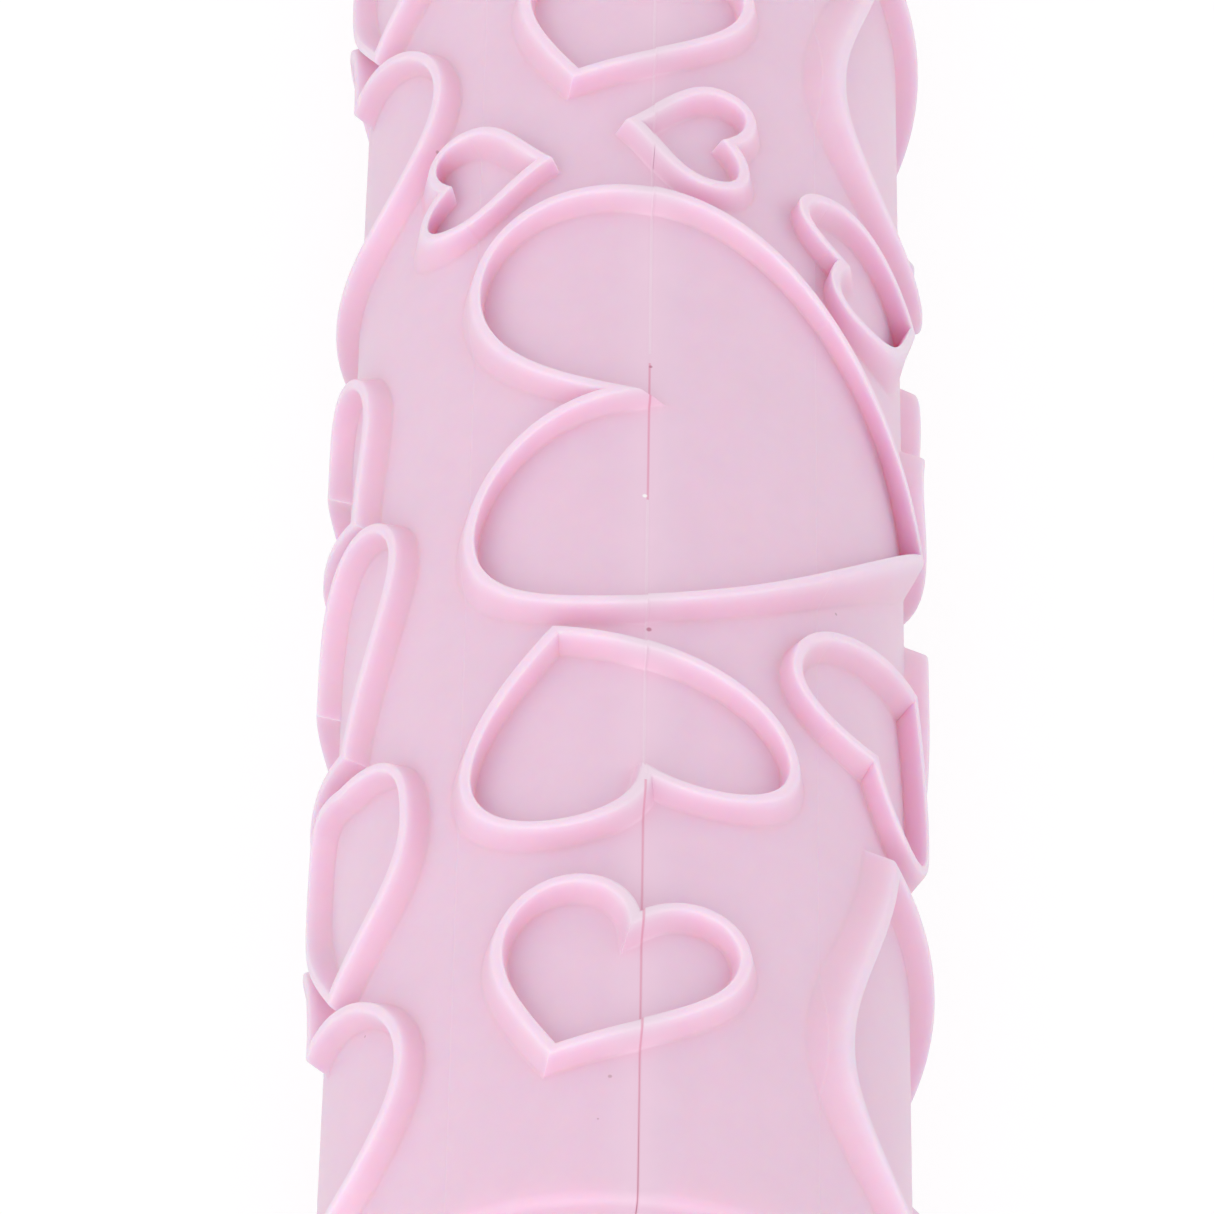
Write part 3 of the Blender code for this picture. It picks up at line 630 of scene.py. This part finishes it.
# What lies over the pink, one after the other: where it is, how much of it shows, and its colour.
colour = PINK
for mask, share, other in (
    # painted shade in the creases at the ridges' feet
    (crease_shade, 0.25, (0.98, 0.53, 0.68, 1)),
    # painted highlight along the ridges' crests
    (crest, 0.8, (0.84, 0.69, 0.79, 1)),
    (insert_line, 0.35, (0.86, 0.66, 0.77, 1)),
    # the flash's raised bead, painted paler as its highlight
    (flash_and_highlight, 0.45, (0.88, 0.70, 0.80, 1)),
    # painted shade in the joint along the seam
    (seam_shade, 0.6, (0.74, 0.25, 0.39, 1)),
    (marks(SPECK_PLACES), 0.45, (0.33, 0.14, 0.16, 1)),
    # dark red spots near the seam
    (marks(DARK_SPOT_PLACES), 0.7, (0.45, 0.12, 0.20, 1)),
    (marks(CHIP_PLACES), 1, (0.95, 0.90, 0.92, 1)),
):
    colour = blended(tree, maths(tree, "MULTIPLY", mask, share), colour, other)
tree.links.new(colour, pink_surface.inputs["Colour"])
lines = maths(tree, "MULTIPLY", maths(tree, "ADD", insert_line, flash_and_highlight), LINE_HEIGHT)
tree.links.new(maths(tree, "ADD", pink_surface.outputs["Height"], lines), pink_bump.inputs["Height"])

# Beside the seam the plastic lets no light in, since light that entered there would be lost in the joint.
FIRM_EDGE = (0.8 * MM, 3 * MM)
firm = add_node(
    tree,
    "BsdfPrincipled",
    [
        ("Base Color", pink_surface.outputs["Colour"]),
        ("Roughness", pink_surface.outputs["Roughness"]),
        ("Normal", pink_bump.outputs[0]),
        ("IOR", PLASTIC_IOR),
    ],
)
soft = tree.nodes["Principled BSDF"]
inwards = faded(tree, from_seam, *FIRM_EDGE)
mixed = add_node(tree, "MixShader", [(0, inwards), (1, firm.outputs[0]), (2, soft.outputs[0])])
tree.links.new(mixed.outputs[0], tree.nodes["Material Output"].inputs["Surface"])

for name, side in (("barrel_half_right", 1), ("barrel_half_left", -1)):
    mesh = half_of("skin_" + name, side)
    mark_relief(mesh)
    mesh.shade_smooth()
    mesh.set_sharp_from_angle(angle=SHARP_EDGE)
    half = bpy.data.objects.new("skin_" + name, mesh)
    bpy.context.scene.collection.objects.link(half)
    mesh.materials.append(pink_plastic)
    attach(half, "barrel")
    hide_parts(name)

# Barrel end caps: round cups moulded in a deeper pink plastic, with a hole for the axle. Each is pushed over
# the necks of both halves and clamps them together.
CAP_RADIUS = 12.2 * MM
CAP_ROUNDING = 1 * MM
CAP_HOLE = 4.6 * MM
CAP_SKIRT_BORE = 9.8 * MM
CAP_FOOT = 105.3 * MM
CAP_INNER_FACE = 109.3 * MM
CAP_OUTER_FACE = 111.3 * MM
EDGE_BREAK = 0.15 * MM


def turned_pair(kind, profile, steps, body, material):
    """The near piece of a kind and its mirror image at the far end, turned from one profile."""
    for end, way in (("near", 1), ("far", -1)):
        mesh = mesh_of(f"skin_{kind}_{end}", *turned(profile * (1, way), steps))
        mesh.shade_smooth()
        mesh.set_sharp_from_angle(angle=SHARP_EDGE)
        made = bpy.data.objects.new(mesh.name, mesh)
        bpy.context.scene.collection.objects.link(made)
        mesh.materials.append(material)
        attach(made, body)
        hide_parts(f"{kind}_{end}")


cap_edge = arc((CAP_RADIUS - CAP_ROUNDING, CAP_OUTER_FACE - CAP_ROUNDING), CAP_ROUNDING, 90, 0, 9)
cap_lip = arc((CAP_HOLE + EDGE_BREAK, CAP_OUTER_FACE - EDGE_BREAK), EDGE_BREAK, 180, 90, 4)
cap_side = [(CAP_RADIUS, CAP_FOOT + EDGE_BREAK), (CAP_RADIUS - EDGE_BREAK, CAP_FOOT)]
cap_bore = [(CAP_SKIRT_BORE, CAP_FOOT), (CAP_SKIRT_BORE, CAP_INNER_FACE), (CAP_HOLE, CAP_INNER_FACE)]
cap_profile = np.concatenate([cap_edge, cap_side, cap_bore, cap_lip])
cap_plastic, _, _ = plastic(
    "cap_plastic", (0.74, 0.36, 0.52, 1), 0.6, 2 * MM, Mottle=0.05, Specks=0.2, Grain=0.004 * MM
)
turned_pair("barrel_end_cap", cap_profile, 144, "barrel", cap_plastic)

# Bearing bushes: short flanged tubes moulded in natural white nylon and pushed into the barrel's necks. The
# barrel turns on the axle with them.
nylon, _, _ = plastic("nylon", (0.80, 0.78, 0.72, 1), 0.7, 2 * MM, Mottle=0.04, Specks=0.0, Grain=0.006 * MM)


def repaint(material, slot, *nodes):
    """Gives CAD nodes that stay in sight a material of this script."""
    for name in nodes:
        node = frame["nodes"][name]
        for place in node.material_slots:
            place.material = material


repaint(nylon, "nylon", "bearing_bush_near", "bearing_bush_far")

# Thrust washers: thin rings stamped from sheet steel and zinc-plated. They sit on the axle between the
# turning caps and the grips.
WASHER_RADIUS = 8.5 * MM
WASHER_BORE = 4.3 * MM
WASHER_INNER_FACE = 111.6 * MM
WASHER_OUTER_FACE = 112.6 * MM

# Worked steel, shared by the metal pieces: a colour that varies in patches, and scratches whose direction
# comes from the stretch of the position. The scratches come out as a height in metres.
PATCH_EDGE = (0.40, 0.62)
SCRATCH_COLOUR = (0.3, 0.3, 0.3, 1)
SCRATCH_SHARE = 0.2
SCRATCH_HEIGHT = 0.01 * MM
STEEL_ROUGHNESS = (0.22, 0.20)
worked, given, result = new_group(
    "worked_steel",
    [("Position", "Vector"), ("Stretch", "Vector"), ("Colour", "Color"), ("Other Colour", "Color")],
    [("Colour", "Color"), ("Roughness", "Float"), ("Height", "Float")],
)
factors = [(0, given["Position"]), (1, given["Stretch"])]
stretched = add_node(worked, "VectorMath", factors, operation="MULTIPLY")
scratches = noise(worked, stretched.outputs[0], 1, 5)
patches = noise(worked, given["Position"], 260, 4)
patched = blended(worked, faded(worked, patches, *PATCH_EDGE), given["Colour"], given["Other Colour"])
dulled = blended(worked, maths(worked, "MULTIPLY", scratches, SCRATCH_SHARE), patched, SCRATCH_COLOUR)
worked.links.new(dulled, result["Colour"])
worked.links.new(maths(worked, "MULTIPLY_ADD", patches, *STEEL_ROUGHNESS), result["Roughness"])
worked.links.new(maths(worked, "MULTIPLY", scratches, SCRATCH_HEIGHT), result["Height"])


def steel(name, stretch, colour, other_colour):
    """A metal material from the shared group."""
    inputs = [("Stretch", stretch), ("Colour", colour), ("Other Colour", other_colour)]
    material, shader, _, _ = surfaced(name, worked, inputs)
    shader.inputs["Metallic"].default_value = 1
    return material


def ring_profile(radius, bore, inner_face, outer_face):
    """A ring's section as (radius, place), with a small rounding at each edge."""
    corners = [(radius, outer_face, 90), (radius, inner_face, 0)]
    corners += [(bore, inner_face, -90), (bore, outer_face, -180)]
    turns = []
    for corner_radius, face, first in corners:
        inwards = -1 if corner_radius == radius else 1
        backwards = -1 if face == outer_face else 1
        centre = (corner_radius + inwards * EDGE_BREAK, face + backwards * EDGE_BREAK)
        turns.append(arc(centre, EDGE_BREAK, first, first - 90, 4))
    return np.concatenate(turns)


zinc_steel = steel("zinc_steel", (900, 900, 900), (0.62, 0.63, 0.64, 1), (0.50, 0.51, 0.54, 1))
washer_profile = ring_profile(WASHER_RADIUS, WASHER_BORE, WASHER_INNER_FACE, WASHER_OUTER_FACE)
turned_pair("thrust_washer", washer_profile, 120, "handles", zinc_steel)

# Grips: handles moulded in the barrel's pink plastic, narrow behind the collar and fullest towards the end,
# with a faint parting line above and below. A pocket in the outer end holds the nut that keeps the grip on
# the axle.
GRIP_START = 112.9 * MM
GRIP_LENGTH = 75 * MM
GRIP_ROUNDING = 1.5 * MM
GRIP_RADII = np.array([11.5, 9.6, 13.5, 11]) * MM
GRIP_PLACE_SHARES = (0, 0.16, 0.62, 1)
POCKET_FLOOR = 163.9 * MM
POCKET_RADIUS = 8 * MM
PARTING_COLOUR = (0.84, 0.48, 0.64, 1)
PARTING_SHARE = 0.4
PARTING_EDGE = (0.10 * MM, 0.02 * MM)
PARTING_HEIGHT = 0.03 * MM


def grip_side(rows=120):
    """The grip's side as (radius, place), from its outer end to its collar.

    Between two of the radii, the radius is first + (last - first) x (1 - cos(pi x share of the way)) / 2.
    """
    low = GRIP_ROUNDING / GRIP_LENGTH
    share = np.linspace(1 - low, low, rows)
    stretch = np.interp(share, GRIP_PLACE_SHARES, (0, 1, 2, 3))
    first = np.minimum(stretch.astype(int), 2)
    part = (1 - np.cos(pi * (stretch - first))) / 2
    radius = GRIP_RADII[first] * (1 - part) + GRIP_RADII[first + 1] * part
    return np.stack([radius, GRIP_START + share * GRIP_LENGTH], axis=1)


side = grip_side()
grip_outer_edge = arc(side[0] - (GRIP_ROUNDING, 0), GRIP_ROUNDING, 90, 0, 9)
grip_inner_edge = arc(side[-1] - (GRIP_ROUNDING, 0), GRIP_ROUNDING, 0, -90, 9)
grip_bore = [(WASHER_BORE, GRIP_START), (WASHER_BORE, POCKET_FLOOR), (POCKET_RADIUS, POCKET_FLOOR)]
grip_bore += [(POCKET_RADIUS, GRIP_START + GRIP_LENGTH)]
grip_profile = np.concatenate([grip_outer_edge[:-1], side, grip_inner_edge[1:], grip_bore])
grip_plastic, grip_surface, grip_bump = plastic(
    "grip_plastic", PINK, 0.85, 2.6 * MM, Mottle=0.05, Specks=0.35, Grain=0.006 * MM
)
tree = grip_plastic.node_tree
position = add_node(tree, "TexCoord").outputs["Object"]
across = add_node(tree, "SeparateXYZ", [(0, position)]).outputs[1]
parting = faded(tree, maths(tree, "ABSOLUTE", across), *PARTING_EDGE)
parted = blended(tree, maths(tree, "MULTIPLY", parting, PARTING_SHARE), PINK, PARTING_COLOUR)
tree.links.new(parted, grip_surface.inputs["Colour"])
line = maths(tree, "MULTIPLY", parting, PARTING_HEIGHT)
tree.links.new(maths(tree, "ADD", grip_surface.outputs["Height"], line), grip_bump.inputs["Height"])
turned_pair("handle_grip", grip_profile, 144, "handles", grip_plastic)

# Clamp washers: rings stamped from sheet steel and zinc-plated. They lie on the floors of the grips'
# pockets, under the nuts.
repaint(zinc_steel, "zinc_steel", "clamp_washer_near", "clamp_washer_far")

# Lock nuts: hexagon nuts of the same zinc-plated steel. They are run onto the axle's ends inside the
# pockets and clamp the grips.
repaint(zinc_steel, "zinc_steel", "lock_nut_near", "lock_nut_far")

# Axle rod: one straight rod of bright steel through the barrel and both grips, with fine lines along it
# from the drawing.
bright_steel = steel("bright_steel", (60, 6000, 6000), (0.68, 0.68, 0.68, 1), (0.60, 0.60, 0.61, 1))
repaint(bright_steel, "bright_steel", "axle_rod")

# Handle end plugs: round stoppers moulded in the grips' plastic, with a rounded rim and a flat face. They
# are pushed into the pockets and cover the nuts.
PLUG_FACE = 190.6 * MM
PLUG_SEAT = 188.2 * MM
PLUG_RADIUS = 9.4 * MM
PLUG_ROUNDING = 1.2 * MM
PLUG_SKIRT_RADIUS = 7.7 * MM
PLUG_SKIRT_BORE = 6.1 * MM
PLUG_FOOT = 180.2 * MM
plug_face = np.stack([np.linspace(0, PLUG_RADIUS - PLUG_ROUNDING, 12), np.full(12, PLUG_FACE)], axis=1)
plug_rim = arc((PLUG_RADIUS - PLUG_ROUNDING, PLUG_FACE - PLUG_ROUNDING), PLUG_ROUNDING, 90, 0, 9)
plug_skirt = [(PLUG_RADIUS, PLUG_SEAT + EDGE_BREAK), (PLUG_RADIUS - EDGE_BREAK, PLUG_SEAT)]
plug_skirt += [(PLUG_SKIRT_RADIUS, PLUG_SEAT), (PLUG_SKIRT_RADIUS, PLUG_FOOT), (PLUG_SKIRT_BORE, PLUG_FOOT)]
plug_skirt += [(PLUG_SKIRT_BORE, PLUG_SEAT), (0, PLUG_SEAT)]
plug_profile = np.concatenate([plug_face, plug_rim[1:], plug_skirt])
turned_pair("handle_end_plug", plug_profile, 120, "handles", grip_plastic)

# Floor: a wide pale sheet under the pin. What sees it directly gets most of its white from the sheet's own
# glow, so that the pin's shadow stays faint.
FLOOR_DEPTH = 24.6 * MM
FLOOR_HALF_WIDTH = 3
FLOOR_GLOW = 0.80
floor_points = np.array([(-1, -1, 0), (1, -1, 0), (1, 1, 0), (-1, 1, 0)]) * FLOOR_HALF_WIDTH
floor_points = floor_points - (0, 0, FLOOR_DEPTH)
floor = bpy.data.objects.new("floor", mesh_of("floor", floor_points, [(0, 1, 2, 3)]))
bpy.context.scene.collection.objects.link(floor)
floor_white = bpy.data.materials.new("floor_white")
floor_white.use_nodes = True
tree = floor_white.node_tree
shader = tree.nodes["Principled BSDF"]
path = add_node(tree, "LightPath").outputs
seen = maths(tree, "MAXIMUM", path["Is Camera Ray"], path["Is Glossy Ray"])
seen = maths(tree, "MAXIMUM", seen, path["Is Transmission Ray"])
floor_colour = blended(tree, seen, (0.82, 0.82, 0.82, 1), (0.25, 0.25, 0.25, 1))
tree.links.new(floor_colour, shader.inputs["Base Color"])
shader.inputs["Roughness"].default_value = 1
shader.inputs["Specular IOR Level"].default_value = 0
shader.inputs["Emission Color"].default_value = (1, 1, 1, 1)
tree.links.new(maths(tree, "MULTIPLY", seen, FLOOR_GLOW), shader.inputs["Emission Strength"])
floor.data.materials.append(floor_white)

# Light: an even white room, a little brighter where it is seen, and three soft panels: beyond the near end,
# and at either side.
ROOM_GLOW = 0.83
SEEN_GLOW = 0.17
PANEL_SIZE = 0.9
world = bpy.data.worlds.new("studio")
bpy.context.scene.world = world
world.use_nodes = True
tree = world.node_tree
tree.nodes["Background"].inputs["Color"].default_value = (1, 1, 1, 1)
path = add_node(tree, "LightPath").outputs
seen = maths(tree, "MAXIMUM", path["Is Camera Ray"], path["Is Glossy Ray"])
room_glow = maths(tree, "MULTIPLY_ADD", seen, SEEN_GLOW, ROOM_GLOW)
tree.links.new(room_glow, tree.nodes["Background"].inputs["Strength"])


def panel(name, place, power):
    """A square panel of light that faces the barrel."""
    light = bpy.data.lights.new(name, "AREA")
    light.shape = "SQUARE"
    light.size = PANEL_SIZE
    light.energy = power
    made = bpy.data.objects.new(name, light)
    made.location = place
    made.rotation_euler = (-Vector(place)).to_track_quat("-Z", "Y").to_euler()
    bpy.context.scene.collection.objects.link(made)


panel("near_panel", (1.15, -0.25, 0.50), 3.8)
panel("left_panel", (0.10, -1.10, 0.50), 1.8)
panel("right_panel", (0.10, 1.10, 0.50), 1.6)

bpy.context.scene.view_settings.view_transform = "Standard"
